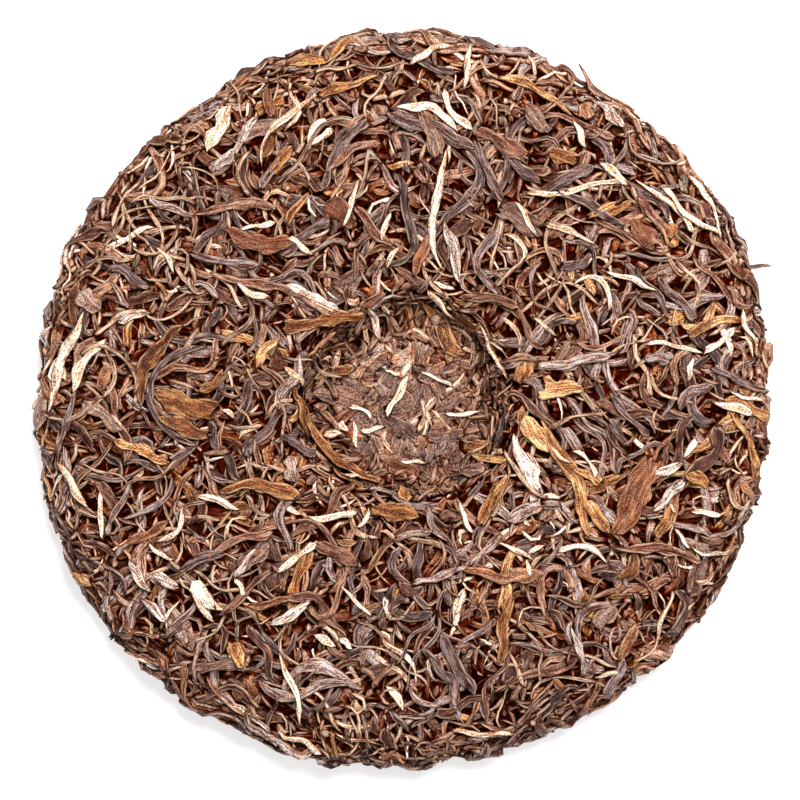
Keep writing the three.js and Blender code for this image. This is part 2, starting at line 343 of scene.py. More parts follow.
WRINKLE_HIGHLIGHT = 0.55  # how much painted highlight a wrinkle's ridge gets
# how much painted shade a fold's crease gets
CREASE_SHADE = 1.4
ROLLED = 0.4  # a leaf rolled on its edge is this much narrower and thicker
FULL_WIDTH = 0.3  # a leaf is at its full thickness from this share of its width
TIP_THICKNESS = 0.25
CUT_END = 12  # ends above this are broken off, not tapered
FLAT_UNDER = 3  # kinds that grow wider than this get an underside that
BELLY = 0.3  # hangs this low, so that it stays under the top when pressed
RAGGED = 0.15


def drape(cake, x, y, side_x, side_y, half, under):
    """The height of the leaf's middle line, and its slope across, where it comes to lie on the pile."""
    station = np.arange(len(x))
    fine = np.linspace(0, len(x) - 1, (len(x) - 1) * FINER + 1)
    felt = (x, y, side_x, side_y, half)
    x, y, side_x, side_y, half = (np.interp(fine, station, values)[:, None] for values in felt)
    offset = half * FEELERS
    ground = cake.face(under).read(x + side_x * offset, y + side_y * offset)
    tilt = ground[:, 3:].mean(1) - ground[:, :2].mean(1)
    slope = tilt / np.maximum(FEELER_SPAN * half[:, 0], LEAST_SPAN)
    slope = smoothed(np.clip(slope, -MOST_SLOPE, MOST_SLOPE), 2 * FINER)
    floor = (ground - slope[:, None] * offset).max(1)
    padded = np.concatenate([floor[:1], floor, floor[-1:]])
    floor = np.maximum(np.maximum(padded[:-2], padded[1:-1]), padded[2:])[::FINER] - BITE
    return np.maximum(smoothed(floor, STIFF_ROUNDS), floor - BITE), slope[::FINER]


def half_widths(kind, leaf, t):
    """Half the leaf's width to its left and its right, and the powers of its two ends."""
    ends = rng.choice(kind.ends, 2)
    power = np.where(t < 0, *ends)
    taper = np.maximum(1 - np.abs(2 * t * TIP_PLACE) ** power, TIP_WIDTH) ** kind.blunt
    uneven = smoothed(rng.normal(1, UNEVEN, (len(t), 2)), 1)
    return leaf.width / 2 * taper[:, None] * np.clip(uneven, *UNEVEN_RANGE), ends


def section(kind, stations, s, along):
    """The leaf's section at each station, from 0 at its edges to about 1, and the painted highlight of its
    ridges and painted shade of its grooves.
    """
    wrinkles = WRINKLE_SIZE * smoothed(rng.normal(0, 1, (stations, len(s))), 2)
    drift = DRIFT * np.sin(along / DRIFT_LENGTH + rng.uniform(0, 6)) + rng.uniform(-DRIFT, DRIFT)
    crease = np.exp(-(((s[None, :] - drift[:, None]) / CREASE_WIDTH) ** 2))
    dome = np.sqrt(1 - np.abs(s) ** kind.edge)[None, :]
    shape = dome * np.clip(1 + kind.wrinkle * wrinkles - kind.fold * crease, *SECTION_RANGE)
    return shape, np.clip(WRINKLE_HIGHLIGHT * wrinkles - CREASE_SHADE * kind.fold * crease, -1, 1)


def lay(cake, heap, kind, leaf, tone, under=False, step=STATION_STEP, lift=(0, 0), stand=0.0):
    """Lays one leaf on the pile and adds it to the heap.

    Once pressed, it is raised by stand, and its two ends also by lift.
    """
    stations = int(np.clip(round(leaf.length / step), *STEP_COUNTS)) + 1
    t, heading, x, y = leaf_path(leaf, kind.wave, stations)
    side_x, side_y = -np.sin(heading), np.cos(heading)
    halves, ends = half_widths(kind, leaf, t)
    roll = kind.twist * np.sin(2 * np.pi * (t * rng.uniform(*TWIST_TURNS) + rng.random()))
    halves = halves * (1 - ROLLED * np.abs(roll))[:, None]
    half = halves.max(1)
    middle, slope = drape(cake, x, y, side_x, side_y, half, under)

    s = -np.cos(np.linspace(0, np.pi, kind.points))
    along = (t + 0.5) * leaf.length
    shape, ridge = section(kind, stations, s, along)
    offset = np.where(s < 0, halves[:, :1], halves[:, 1:]) * s
    turned_up = kind.curl * rng.choice([-1, 1]) * s[None, :] ** 3
    turned_up = np.maximum(turned_up, 0) * half[:, None]
    seat = middle[:, None] + slope[:, None] * offset
    base = turned_up + roll[:, None] * offset + np.abs(roll * half)[:, None]
    full = np.clip(half / (FULL_WIDTH * leaf.width), TIP_THICKNESS, 1)[:, None]
    relief = base + rng.uniform(*kind.thick) * (1 + ROLLED * np.abs(roll))[:, None] * full * shape

    pick = np.arange(kind.points)
    if kind.width[1] > FLAT_UNDER:
        pick = np.append(pick, kind.points // 2)
        relief = np.column_stack([relief, base[:, kind.points // 2] - BELLY])
    seat = seat[:, pick]
    jag = np.zeros_like(seat)
    for end, row in zip(ends, (0, -1)):
        if end > CUT_END:
            jag[row] = rng.normal(0, RAGGED * leaf.width, kind.points)[pick]
    offset = offset[:, pick]
    edge = half[:, None] * (1 - np.abs(s[pick]))[None, :]
    edge = np.minimum(edge, np.minimum(along, leaf.length - along)[:, None])
    points = {
        "x": x[:, None] + side_x[:, None] * offset + np.cos(heading)[:, None] * jag,
        "y": y[:, None] + side_y[:, None] * offset + np.sin(heading)[:, None] * jag,
        "seat": seat,
        "top": seat + relief,
        "lift": stand + np.interp(t, (-0.5, 0, 0.5), (lift[0], 0, lift[1]))[:, None],
        "across": offset,
        "along": along[:, None],
        "edge": edge,
        "ridge": ridge[:, pick],
        "tone": tone,
    }
    points = {name: np.broadcast_to(value, seat.shape) for name, value in points.items()}
    flat = {name: value.ravel() for name, value in points.items()}
    heap.append(Part(flat, *strip_pattern(stations, len(pick)), under))

    upper = slice(0, kind.points)
    finer = np.linspace(0, 1, max(2, int(np.ceil(step / CELL)) + 1))[:-1, None, None]
    grids = [points[name][:, upper] for name in ("x", "y", "top")]
    fine = [(g[None, :-1] * (1 - finer) + g[None, 1:] * finer).ravel() for g in grids]
    cake.stamp(*fine, under)


SMALL_BIAS = 1.4  # above 1, small leaves are commoner than big ones


def random_leaf(kind, x, y, heading):
    length, width = (
        low + (high - low) * rng.random() ** SMALL_BIAS for low, high in (kind.length, kind.width)
    )
    return Leaf(x, y, heading, length, width, rng.normal(0, kind.bend / 2))


CANDIDATES = 8
PAST_RIM = 4  # how far past the rim loose leaves may start
RIM_BAND = 22  # how near to their outer edge leaves feel the rim
WALL_BAND = 9  # and how near to the ring that they start from they feel that
ALONG_SHARE = 0.65
ALONG_SPREAD = 25  # degrees off the run round the cake
END_LIFT = 0.12  # how far a leaf's ends stand off
RIM_LIFT = 0.14  # and how much more they do at the rim


def scatter(
    cake, heaps, mix, count, under=False, inner=0, outer=None, tone=(0, 1),
    step=STATION_STEP, points=MOST_POINTS, along=ALONG_SHARE,
):
    """Lays count leaves of mixed kinds evenly over one face, each at the lowest of a few random spots.

    Near the rim, and near a ring that they start from, the share along of them runs round the cake.
    """
    face = cake.face(under)
    edge = face.reach - RIM_OVERLAP + PAST_RIM
    outer = outer or edge
    names, weights = list(mix), np.array(list(mix.values()), float)
    picks = rng.choice(len(names), count, p=weights / weights.sum())
    for pick in picks:
        kind = KINDS[names[pick]]
        kind = kind._replace(points=min(points, kind.points))
        distance = np.sqrt(rng.uniform(inner**2, outer**2, CANDIDATES))
        angle = rng.uniform(-np.pi, np.pi, CANDIDATES)
        x, y = distance * np.cos(angle), distance * np.sin(angle)
        best = np.argmin(face.read(x, y))
        heading = rng.uniform(-180, 180)
        near_rim = np.clip((distance[best] - edge + RIM_BAND) / RIM_BAND, 0, 1)
        near_wall = np.clip((inner + WALL_BAND - distance[best]) / WALL_BAND, 0, 1) if inner else 0
        if rng.random() < max(near_rim, near_wall) * along:
            heading = np.degrees(angle[best]) + 90 + rng.normal(0, ALONG_SPREAD)
        leaf = random_leaf(kind, x[best], y[best], heading)
        lift = np.abs(rng.normal(0, END_LIFT + RIM_LIFT * near_rim, 2))
        lay(cake, heaps[names[pick]], kind, leaf, rng.uniform(*tone), under, step, lift)


# The leaves that stand out: the plan position of both ends, the width, how far the leaf turns from end to
# end in degrees, anticlockwise, and its tone in its kind's colours.
FEATURES = {
    "taupe_strips": (
        (-3.5, 77.5, 19.5, 68, 4.4, -8, 0.45), (18.2, 70, 26.3, 53, 4.0, -5, 0.4),
        (26.3, 67.5, 37.1, 58, 4.2, 20, 0.35), (36.6, 57.5, 51.2, 64.2, 4.6, 15, 0.45),
        (36.3, 8.9, 55.8, 12.2, 3.8, 5, 0.95), (-54.2, 16.8, -58, -13.6, 2.2, 150, 0.35),
        (-57.5, 38.8, -38.8, 35.2, 3.2, -10, 0.5), (-10.8, 76.2, -23.3, 57, 3.4, 15, 0.4),
        (-4.1, 85, 3.8, 86.2, 1.8, -150, 0.55), (60.4, 72.6, 75.6, 66.4, 1.6, 130, 0.5),
        (64.8, 11.9, 71.8, 11.4, 4.6, 0, 0.7), (83.2, 9.8, 98.4, 3.5, 2.8, 20, 0.4),
        (2.7, -49.3, 18.2, -44.4, 2.4, 10, 0.8), (18.2, -44.4, 26, -34.7, 2.6, 15, 0.85),
        (9.2, -63, 18.2, -79.7, 3.6, -10, 0.3), (5.1, -66, 13, -76.2, 3.0, 0, 0.35),
        (1.6, -76.2, 10.3, -81.8, 1.8, 90, 0.9), (-6.5, -59.6, -1.6, -48.8, 2.8, -10, 0.2),
        (-61.2, -45.3, -47.7, -41, 3.4, -25, 0.25), (-72.6, -21.7, -79.4, -36.3, 2.0, 20, 0.6),
        (-61.8, -19.8, -76, -31.2, 1.8, -90, 0.5), (-32, -8.4, -22, -14, 4.4, 0, 0.25),
        (-3, -36.9, 8, -34.4, 2.2, 15, 0.85), (27.4, -31.7, 36.6, -27.4, 3.8, 0, 0.9),
        (-32, 64, -38, 57, 3.0, 60, 0.5), (42, 57, 60, 47, 3.2, -12, 0.3),
        (69, 34, 79, 22, 3.0, 15, 0.4), (55, 2, 66, -10, 2.6, 10, 0.35),
        (-20, 49, -33, 40, 3.4, 12, 0.3), (-88, 3, -93, -20, 2.2, 20, 0.35),
    ),
    "umber_strips": (
        (19.5, 73.2, 33.1, 64.8, 4.6, -8, 0.45), (-51.8, 35.2, -19.8, 25.5, 3.0, -10, 0.7),
        (55.3, -37.9, 80.8, -42.5, 3.0, -15, 0.55), (-50.4, -57.5, -35, -45.5, 2.8, 5, 0.35),
        (-24.4, -37.7, -12, -44.4, 5.0, -10, 0.4), (-5.1, -88, -3.3, -94, 4.0, 0, 0.15),
        (-25, 60.2, -21.7, 56.4, 3.8, 0, 0.25), (-21.8, 62, -6, 70, 2.8, -30, 0.6),
        (25.6, 9.8, 37, 10.8, 2.2, -60, 0.5), (-56.4, 49.7, -34, 50.7, 3.4, -50, 0.5),
        (14.6, 28.4, 31, 26, 3.2, -8, 0.35), (46.1, 82, 33, 76, 2.6, 10, 0.5),
        (-13, 52, -3, 41, 3.0, 10, 0.45), (63, 55, 72, 44, 3.4, 10, 0.5),
        (43.6, 97, 52, 88, 2.6, 0, 0.35),
    ),
    "rust_leaves": (
        (66.7, -14.9, 56.4, -35.8, 6.4, -14, 0.6), (-48.2, 45.5, -28.5, 41.5, 4.8, 24, 0.45),
        (-36.9, 85, -35.8, 76.2, 3.8, 0, 0.4), (15.7, -46.1, 38.5, -47.2, 4.4, 20, 0.85),
        (48.2, 80.5, 50, 76.5, 4.2, 0, 0.9), (61.5, 48.8, 67.2, 40.4, 3.8, 0, 0.4),
        (67.2, -16.5, 73.4, -8.4, 1.5, -40, 0.7), (-74.3, -39, -62.3, -32.8, 2.8, -5, 0.6),
        (-42, -55, -28.7, -52.8, 2.6, 8, 0.5), (-21, 53.5, -13, 47, 6.4, 0, 0.2),
        (7, 45, 3, 33, 3.6, 10, 0.6), (-78.9, 9.6, -82.4, 2.6, 4.2, 10, 0.75),
        (-98, 6, -92.5, -1, 3.6, 0, 0.8), (58, -70, 63, -60, 3.8, 0, 0.8),
    ),
    "broad_leaves": (
        (-86.4, 0, -75.6, -7.9, 4.2, -8, 0.9), (-87, 29.5, -82, 24.4, 5.0, 0, 0.95),
        (14.6, -17.9, 21.4, -17.9, 5.8, 0, 0.5), (-29.3, -14, -28.5, -21.5, 4.4, 0, 0.9),
        (5, 78, 9.5, 66, 4.6, 0, 0.55), (52, -61, 57, -55, 4.6, 0, 0.7),
        (-33, 76, -44, 70, 4.2, 0, 0.6), (-43.6, -46, -36, -38, 5.2, 0, 0.5),
        (26, 52, 37, 46, 5.0, -10, 0.3), (33, 80, 39, 72, 4.6, 0, 0.5),
    ),
    "gold_leaves": (
        (32, -4.1, 38.8, -14.1, 5.2, -5, 0.95), (36.6, -4.6, 50.7, -36.9, 4.2, -28, 0.7),
        (48.5, -26.6, 55.3, -35.8, 4.5, 0, 0.75), (36.6, 3.3, 48.8, 2.7, 6.0, 0, 1.0),
        (-58.8, 20.1, -71, -1.9, 4.4, 60, 0.15), (-67, 2.4, -50, -4, 8.4, 0, 0.4),
        (-66, -4, -52, -9, 4.2, 10, 0.3), (-78, -10.3, -63.1, -16.3, 4.2, -8, 0.9),
        (-50.1, -24.4, -28.5, -25.5, 3.6, -60, 0.45), (-32.2, 20.6, -10.3, 24.4, 4.2, -8, 0.45),
        (-31.2, 47.2, -25.5, 56.4, 2.8, -10, 0.5), (-22.2, 81.3, -6.2, 87, 3.0, -25, 0.5),
        (26.3, 88.6, 46.9, 78.3, 2.4, -10, 0.75), (39.3, 67, 47, 64.8, 4.2, 0, 0.45),
        (49.6, 49.3, 57.5, 53.4, 2.6, 0, 1.0), (69.4, 47.7, 74.5, 42, 4.8, 0, 0.65),
        (48.5, 34.7, 51.2, 28, 2.6, 0, 1.0), (76.7, 17.1, 83.7, 21.7, 3.0, 0, 0.45),
        (75.6, -19.8, 83, -22.8, 4.6, 0, 0.6), (28.7, -51.5, 25.5, -71, 3.2, 5, 0.4),
        (-8, -30, 4.6, -31.7, 6.0, 0, 0.45), (-0.5, -22.8, 1.1, -28.2, 4.6, 0, 0.7),
        (16.5, -14.1, 27.4, -16.5, 3.0, 10, 0.8), (-25, -2.2, -6.2, -22, 3.2, 30, 0.4),
        (-27, 4, -22.6, -9, 2.6, 10, 0.35), (20, -33, 27.2, -19, 3.8, 0, 0.5),
        (-30, 68.6, -36, 61, 3.4, 0, 0.5), (-85, -50.8, -89, -46, 4.0, 0, 0.8),
        (-46, -65, -43, -72, 4.0, 0, 0.85), (53.4, -22, 45.5, -18, 3.2, 10, 0.85),
        (66, 78, 60, 86, 2.0, 0, 0.7), (54.5, 50, 62, 54, 2.6, 5, 0.55),
    ),
    "pale_buds": (
        (11.4, 68, 10.8, 34.1, 2.6, 44, 0.5), (-2.2, 79, 15, 72.6, 3.0, -80, 0.75),
        (10, 83.7, 18.2, 72.6, 2.4, 35, 1.0), (-86, 24.4, -96.5, -3.3, 3.2, 15, 0.5),
        (-81, 17.6, -90, 2.4, 3.0, 25, 0.7), (-93.8, -15.7, -85.4, -29, 2.8, -15, 0.45),
        (-33.3, -67.2, -27.1, -88.6, 1.8, -25, 0.5), (-34.7, -88.6, -22, -95.1, 2.2, 0, 0.6),
        (18.7, 20.9, 27.1, 5.1, 1.5, -15, 0.7), (2, 7, -4.2, -4.6, 2.1, 10, 0.7),
        (-5, 8.7, -0.5, 7, 1.2, 0, 0.5), (-11.2, -7.9, -5, -7, 1.9, 15, 1.0),
        (-12.5, -4.6, -12.1, -13, 1.4, 10, 0.9), (-14.1, -1.6, -8.7, -5.4, 1.4, -100, 0.8),
        (11.1, -3.8, 20.7, -3, 1.6, 20, 1.0), (6.6, 29.4, 13.3, 20.3, 2.0, 0, 0.45),
        (7.4, 31.4, 13.6, 29, 1.6, 0, 0.9), (-5.4, 25, -3.3, 21.6, 1.7, 20, 0.9),
        (-19.5, -8.4, -15.7, -8.4, 2.4, 0, 0.4), (-15.4, -18.7, -11.7, -20.3, 1.3, 0, 0.7),
        (-1.6, -17, 6.5, -17, 1.3, 5, 0.6), (-32, 9.5, -25.3, 3.7, 2.0, 0, 0.45),
        (-46.1, 80.2, -52.8, 66.9, 4.6, 5, 0.55), (-23.8, 80.8, -38.5, 62.6, 2.2, 70, 0.45),
        (-25.5, 69.4, -19.8, 75.1, 2.0, -100, 1.0), (-25, 68.6, -18.8, 73, 2.2, -10, 0.9),
        (1.6, 91.3, 13.6, 96.5, 2.0, -25, 0.6), (18.2, 96.5, 16.5, 83.5, 1.9, 0, 0.4),
        (46.1, 76.2, 49.6, 68.3, 2.3, 10, 0.8), (33.1, 55, 60, 59.1, 1.8, 5, 0.4),
        (52.3, 63.7, 60, 57.5, 2.6, -30, 0.5), (62.6, 60.7, 79.1, 45.5, 1.8, -15, 0.4),
        (68.8, 56.4, 86.4, 43.6, 2.4, 10, 0.7), (78, 62, 86.4, 44, 1.8, -25, 0.8),
        (45, 31.7, 55.8, 24.4, 1.6, -150, 0.7), (54.2, 35.2, 68.8, 29.5, 2.0, -12, 0.7),
        (38.2, 47.7, 51.8, 42, 2.0, -30, 0.45), (29.8, 54, 36, 43.6, 1.7, -15, 0.5),
        (26.3, 44.4, 30.4, 35.8, 1.8, -150, 0.55), (65, 14.1, 81.3, 12.5, 1.7, -45, 0.6),
        (81.3, 12.5, 89.4, 19.8, 2.4, 0, 0.8), (83.7, 0.5, 94.6, -3, 2.6, 10, 0.6),
        (87.5, 2.4, 97.8, -0.5, 1.6, 10, 0.8), (76.7, 5.1, 78, 11.9, 2.0, 0, 0.9),
        (45, -13.6, 51.2, -20.9, 1.8, -90, 0.9), (75.6, -15.6, 79.1, -10.3, 1.8, 0, 0.8),
        (78, -30, 86.4, -31.2, 1.8, -8, 0.8), (73.4, -34.1, 77.5, -39.8, 1.7, 15, 0.8),
        (41.2, -39.6, 55.6, -43, 1.8, -70, 0.8), (37, -25, 42.6, -26, 1.8, 0, 0.7),
        (-81.6, -24.4, -81.6, -37.9, 1.7, 8, 0.7), (-58.8, -28, -66.4, -38.5, 1.9, -80, 0.4),
        (-68.6, -37.9, -61.2, -42.5, 1.8, 50, 0.7), (-56.6, -48.2, -51, -55.6, 3.8, 10, 0.95),
        (-57, -50.7, -51.5, -60.2, 2.1, 10, 0.55), (-45.3, -47.7, -42, -52, 1.8, 20, 0.7),
        (-34.7, -45.5, -23.8, -37.1, 2.0, 25, 0.6), (-26, -30.4, -12.5, -30.4, 2.2, 30, 0.9),
        (-9.2, -29, -12.5, -34.7, 1.6, -70, 0.9), (-17.1, -49, -8.4, -58, 1.1, 10, 0.7),
        (13, -90, 30.6, -90, 1.9, -5, 0.55), (16.5, -50.7, 14.1, -57.5, 1.8, -10, 0.6),
        (15.4, -26.8, 18.7, -35.5, 1.8, 25, 1.0), (33.1, -42.3, 34.1, -47.2, 1.8, 0, 0.9),
        (24.9, -38.2, 35.2, -43.4, 1.7, -30, 0.4), (-24, -62.6, -18, -66, 2.6, 0, 0.7),
        (-17, -63.5, -13.5, -66.5, 2.4, 0, 0.8), (-16.5, -5.4, -14, -8, 2.0, 0, 0.9),
        (-31, 44, -24, 39.5, 2.0, -10, 0.6), (-66, 42, -61, 34, 1.8, -20, 0.5),
        (-44, 46, -34, 48, 2.0, -10, 0.7), (-45, 32, -36, 28, 1.9, 60, 0.7),
        (-88, 48, -94, 36, 1.6, 5, 0.6), (-12, 60, -17, 47, 1.6, -25, 0.9),
        (-3.6, 51, -6, 43, 2.2, 8, 0.7), (34.6, 22, 41, 17, 1.5, -20, 0.5),
    ),
    "silver_leaves": (
        (12, 48.8, 16, 31.2, 3.6, 10, 0.45), (-56.1, -24.7, -43.9, -29.3, 2.6, -20, 0.9),
        (4.1, 8.2, 13.6, 3.7, 1.3, -5, 0.8), (-9.5, 26, -6.2, 17.3, 2.4, -10, 0.9),
        (29.3, -8.4, 36.6, -24.9, 4.6, 8, 0.8), (67.2, -30, 75.6, -21.4, 3.2, 0, 0.5),
        (67, -20, 75.6, -17, 2.4, 0, 0.6), (-73.7, -42.5, -67.5, -51.8, 2.3, 15, 0.6),
        (-67.5, -46.1, -60.2, -50.4, 3.6, 0, 0.6), (-70.7, -52.8, -63, -59.1, 3.0, 0, 0.5),
        (-39, -39.6, -45.3, -47.7, 2.6, 10, 0.5), (-35.8, -60.7, -25, -55, 2.8, -10, 0.7),
        (-32, 31.2, -18.3, 25, 3.4, -10, 0.9), (-5, -52.4, -4, -59, 2.0, 0, 0.7),
        (-39, 77, -45, 66, 2.2, 20, 0.4), (-45, 68, -51, 62, 3.0, 0, 0.3),
        (46, -60, 49.5, -75, 2.6, 0, 0.3), (-77, 21.5, -68, 24, 3.0, -20, 0.6),
    ),
    "stems": (
        (-73.7, 41, -59.6, 47.2, 1.4, 120, 0.4), (-79, 46.6, -71.5, 60.2, 1.2, -20, 0.7),
        (-41.5, 68, -42, 55, 1.4, 90, 0.6), (-87.5, 12.2, -73.2, 1, 1.3, -150, 0.4),
        (-79.6, 15, -80, 0.5, 1.1, -60, 0.5), (-80, 0.5, -96, -5, 1.2, -50, 0.35),
        (-83, 18, -70, 24.4, 1.6, -40, 0.8), (-61, 37, -55.5, 29, 1.5, 20, 0.6),
        (-57, 33, -53, 30, 1.4, 160, 0.5), (4.9, 0.8, 4.1, -8.4, 1.3, -60, 0.7),
        (88.6, -21.1, 93.2, -29.3, 1.4, 120, 0.5), (-36, -4, -27.4, 0, 1.3, -90, 0.9),
        (33, 40, 24, 31, 1.5, -40, 0.5), (39, -12, 45.5, -17, 1.2, 20, 0.8),
        (27.4, -12.5, 39.3, -25.5, 1.4, 60, 0.7), (-24, 88, -12, 90.5, 1.3, -40, 0.5),
        (54, 92, 64, 80, 1.2, 0, 0.4),
    ),
}
FEATURE_WAVE = 12
FEATURE_STATIONS = 7
FEATURE_STEP = 1.6
FEATURE_STAND = 0.5
FEATURE_LIFT = 0.15

# A leaf tip and a stem that stick out of the rim: the plan angle where each is rooted, how far past the rim
# its middle lies, its size, its turn from straight outward, how far each end stands off, and its tone.
JutOut = namedtuple("JutOut", "kind angle past length width turn lift tone")
JUTTING = (
    JutOut("umber_strips", 58.5, -1.0, 15, 4.2, 84, (0.0, 4.0), 0.4),
    JutOut("stems", 21.0, -0.5, 5.6, 1.8, -35, (0.0, 8.6), 0.1),
)


def placed_leaf(skin, x0, y0, x1, y1, width, bend):
    """A leaf between two points of the plan, as one arc that turns by bend degrees."""
    (x0, y0), (x1, y1) = skin.flattened(x0, y0), skin.flattened(x1, y1)
    chord, heading = np.hypot(x1 - x0, y1 - y0), np.arctan2(y1 - y0, x1 - x0)
    half_turn = np.radians(bend) / 2
    length = chord * (half_turn / np.sin(half_turn) if bend else 1)
    bow = -chord / 2 * np.tan(half_turn / 2)
    x = (x0 + x1) / 2 - np.sin(heading) * bow
    y = (y0 + y1) / 2 + np.cos(heading) * bow
    return Leaf(x, y, np.degrees(heading), length, width, bend)


def place_features(cake, heaps):
    for name, rows in FEATURES.items():
        for *ends, width, bend, tone in rows:
            leaf = placed_leaf(cake.skin, *ends, width, bend)
            lift = np.abs(rng.normal(0, FEATURE_LIFT, 2))
            kind = KINDS[name]._replace(wave=FEATURE_WAVE)
            step = min(FEATURE_STEP, leaf.length / FEATURE_STATIONS)
            lay(cake, heaps[name], kind, leaf, tone, step=step, lift=lift, stand=FEATURE_STAND)
    for jut in JUTTING:
        angle, walk = np.radians(jut.angle), cake.skin.rim + jut.past
        x, y = walk * np.cos(angle), walk * np.sin(angle)
        leaf = Leaf(x, y, jut.angle + jut.turn, jut.length, jut.width, 0)
        kind = KINDS[jut.kind]._replace(wave=0, twist=0)
        lay(cake, heaps[jut.kind], kind, leaf, jut.tone, step=jut.length / FEATURE_STATIONS, lift=jut.lift)


# Meshes

GRAIN_SHIFT = 97  # moves each leaf to a grain of its own


def write_mesh(name, places, loops, sizes, attributes):
    mesh = bpy.data.meshes.new(name)
    mesh.vertices.add(len(places))
    mesh.vertices.foreach_set("co", (places * MM).astype(np.float32).ravel())
    mesh.loops.add(len(loops))
    mesh.loops.foreach_set("vertex_index", loops.astype(np.int32))
    mesh.polygons.add(len(sizes))
    mesh.polygons.foreach_set("loop_start", (np.cumsum(sizes) - sizes).astype(np.int32))
    mesh.polygons.foreach_set("use_smooth", np.ones(len(sizes), bool))
    for label, values in attributes.items():
        vector = values.ndim == 2
        made = mesh.attributes.new(label, "FLOAT_VECTOR" if vector else "FLOAT", "POINT")
        made.data.foreach_set("vector" if vector else "value", values.astype(np.float32).ravel())
    mesh.update(calc_edges=True)
    mesh.validate()
    piece = bpy.data.objects.new(name, mesh)
    bpy.context.scene.collection.objects.link(piece)
    return piece


def turned_round(loops, sizes):
    """The same faces, seen from their other side."""
    ends = np.cumsum(sizes)
    return loops[np.concatenate([np.arange(e - 1, e - n - 1, -1) for e, n in zip(ends, sizes)])]


class Press:
    """Squeezes the pile's heights and bends both faces round the skin."""

    def __init__(self, cake):
        self.cake = cake
        self.broad = {under: cake.face(under).blurred(MEAN_SPREAD) for under in (False, True)}
        self.close = {under: cake.face(under).blurred(CLOSE_SPREAD) for under in (False, True)}

    def rise(self, x, y, seat, top, under):
        """How far above the skin points come to lie, and how open to the light they are, for painted shade.
        """
        mean = self.broad[under](x, y)
        raised = SQUEEZE * (seat - mean)
        limit = np.where(raised > 0, PRESSED_PEAK, PRESSED_DEPTH)
        pressed = limit * np.tanh(raised / limit)
        shown = top - mean + CLOSE_SHARE * (top - self.close[under](x, y))
        relief = RELIEF * (top - seat) + SURFACE_LEVEL
        if under:
            return pressed + relief, shown
        distance, angle = np.hypot(x, y), np.arctan2(y, x)
        outside = smoothstep((distance - FLAKE_RADIUS + FLAKE_BLEND) / FLAKE_BLEND)
        groove = np.exp(-(((distance - GROOVE_RADIUS) / GROOVE_WIDTH) ** 2))
        groove = groove * (1 + waves(GROOVE_WAVES, angle))
        pressed = pressed * (FLOOR_SQUEEZE + (1 - FLOOR_SQUEEZE) * outside) - GROOVE_DROP * groove
        # painted shade: less of it on the dimple's floor, more in the groove
        shown = shown * (FLOOR_CALM + (1 - FLOOR_CALM) * outside) - GROOVE_SHADE * groove
        return pressed + relief, shown

    def place(self, x, y, seat, top, lift, under):
        rise, shown = self.rise(x, y, seat, top, under)
        return self.cake.skin.place(x, y, rise + lift, under), shown

    def piece(self, name, heap):
        places, shown, kept = [], [], []
        for part in heap:
            p = part.points
            if self.cake.face(part.under).seen_share(p["x"], p["y"], p["top"]) < SEEN_SHARE:
                continue
            kept.append(part)
            place, open_air = self.place(p["x"], p["y"], p["seat"], p["top"], p["lift"], part.under)
            places.append(place)
            shown.append(open_air)
        points = {key: np.concatenate([part.points[key] for part in kept]) for key in kept[0].points}
        starts = np.cumsum([0] + [len(part.points["x"]) for part in kept[:-1]])
        loops = [
            start + (turned_round(part.loops, part.sizes) if part.under else part.loops)
            for start, part in zip(starts, kept)
        ]
        sizes = np.concatenate([part.sizes for part in kept])
        attributes = {
            "grain": np.stack([points["across"], points["along"], points["tone"] * GRAIN_SHIFT], axis=-1),
            "edge": points["edge"],
            "ridge": points["ridge"],
            "tone": points["tone"],
            "shown": np.concatenate(shown),
        }
        return write_mesh(name, np.concatenate(places), np.concatenate(loops), sizes, attributes)


CORE_RINGS = 110
CORE_SEGMENTS = 200
CORE_CRUMB = 0.2
CORE_DROP = 0.9  # how far under the pile's own floor the core lies
RIM_BACKING = 2.8  # the core comes this much nearer to the skin at the rim
RIM_BACKING_WIDTH = 12


def core_piece(press):
    """What is under the leaves: the pile's floor, with crumbs of relief, closed at both middles."""
    skin = press.cake.skin
    walk = np.linspace(0, 1, CORE_RINGS + 2)[1:-1] * skin.total
    angle = np.arange(CORE_SEGMENTS) / CORE_SEGMENTS * 2 * np.pi
    places = []
    for distance in walk:
        under = distance > skin.rim
        reach = skin.total - distance if under else distance
        x, y = reach * np.cos(angle), reach * np.sin(angle)
        crumbs = rng.normal(0, CORE_CRUMB, CORE_SEGMENTS)
        floor = np.zeros_like(x) if under else floor_bed(np.hypot(x, y))
        backed = RIM_BACKING * np.exp(-(((distance - skin.rim) / RIM_BACKING_WIDTH) ** 2))
        places.append(press.place(x, y, floor, floor, crumbs - CORE_DROP + backed, under)[0])
    for under in (False, True):
        middle = np.zeros(1)
        floor = middle if under else floor_bed(middle)
        places.append(press.place(middle, middle, floor, floor, -CORE_DROP, under)[0])
    first = np.arange(CORE_RINGS - 1)[:, None] * CORE_SEGMENTS + np.arange(CORE_SEGMENTS)[None, :]
    turned = np.roll(first, -1, axis=1)
    quads = np.stack([first, first + CORE_SEGMENTS, turned + CORE_SEGMENTS, turned], axis=-1).reshape(-1)
    top, bottom = CORE_RINGS * CORE_SEGMENTS, CORE_RINGS * CORE_SEGMENTS + 1
    head = np.stack([np.full(CORE_SEGMENTS, top), first[0], turned[0]], axis=-1).reshape(-1)
    tail = first[-1] + CORE_SEGMENTS
    foot = np.stack([np.roll(tail, -1), tail, np.full(CORE_SEGMENTS, bottom)], axis=-1).reshape(-1)
    sizes = np.array([4] * (len(quads) // 4) + [3] * (2 * CORE_SEGMENTS))
    loops = np.concatenate([quads, head, foot])
    return write_mesh("pressed_core", np.concatenate(places), loops, sizes, {})


# Materials


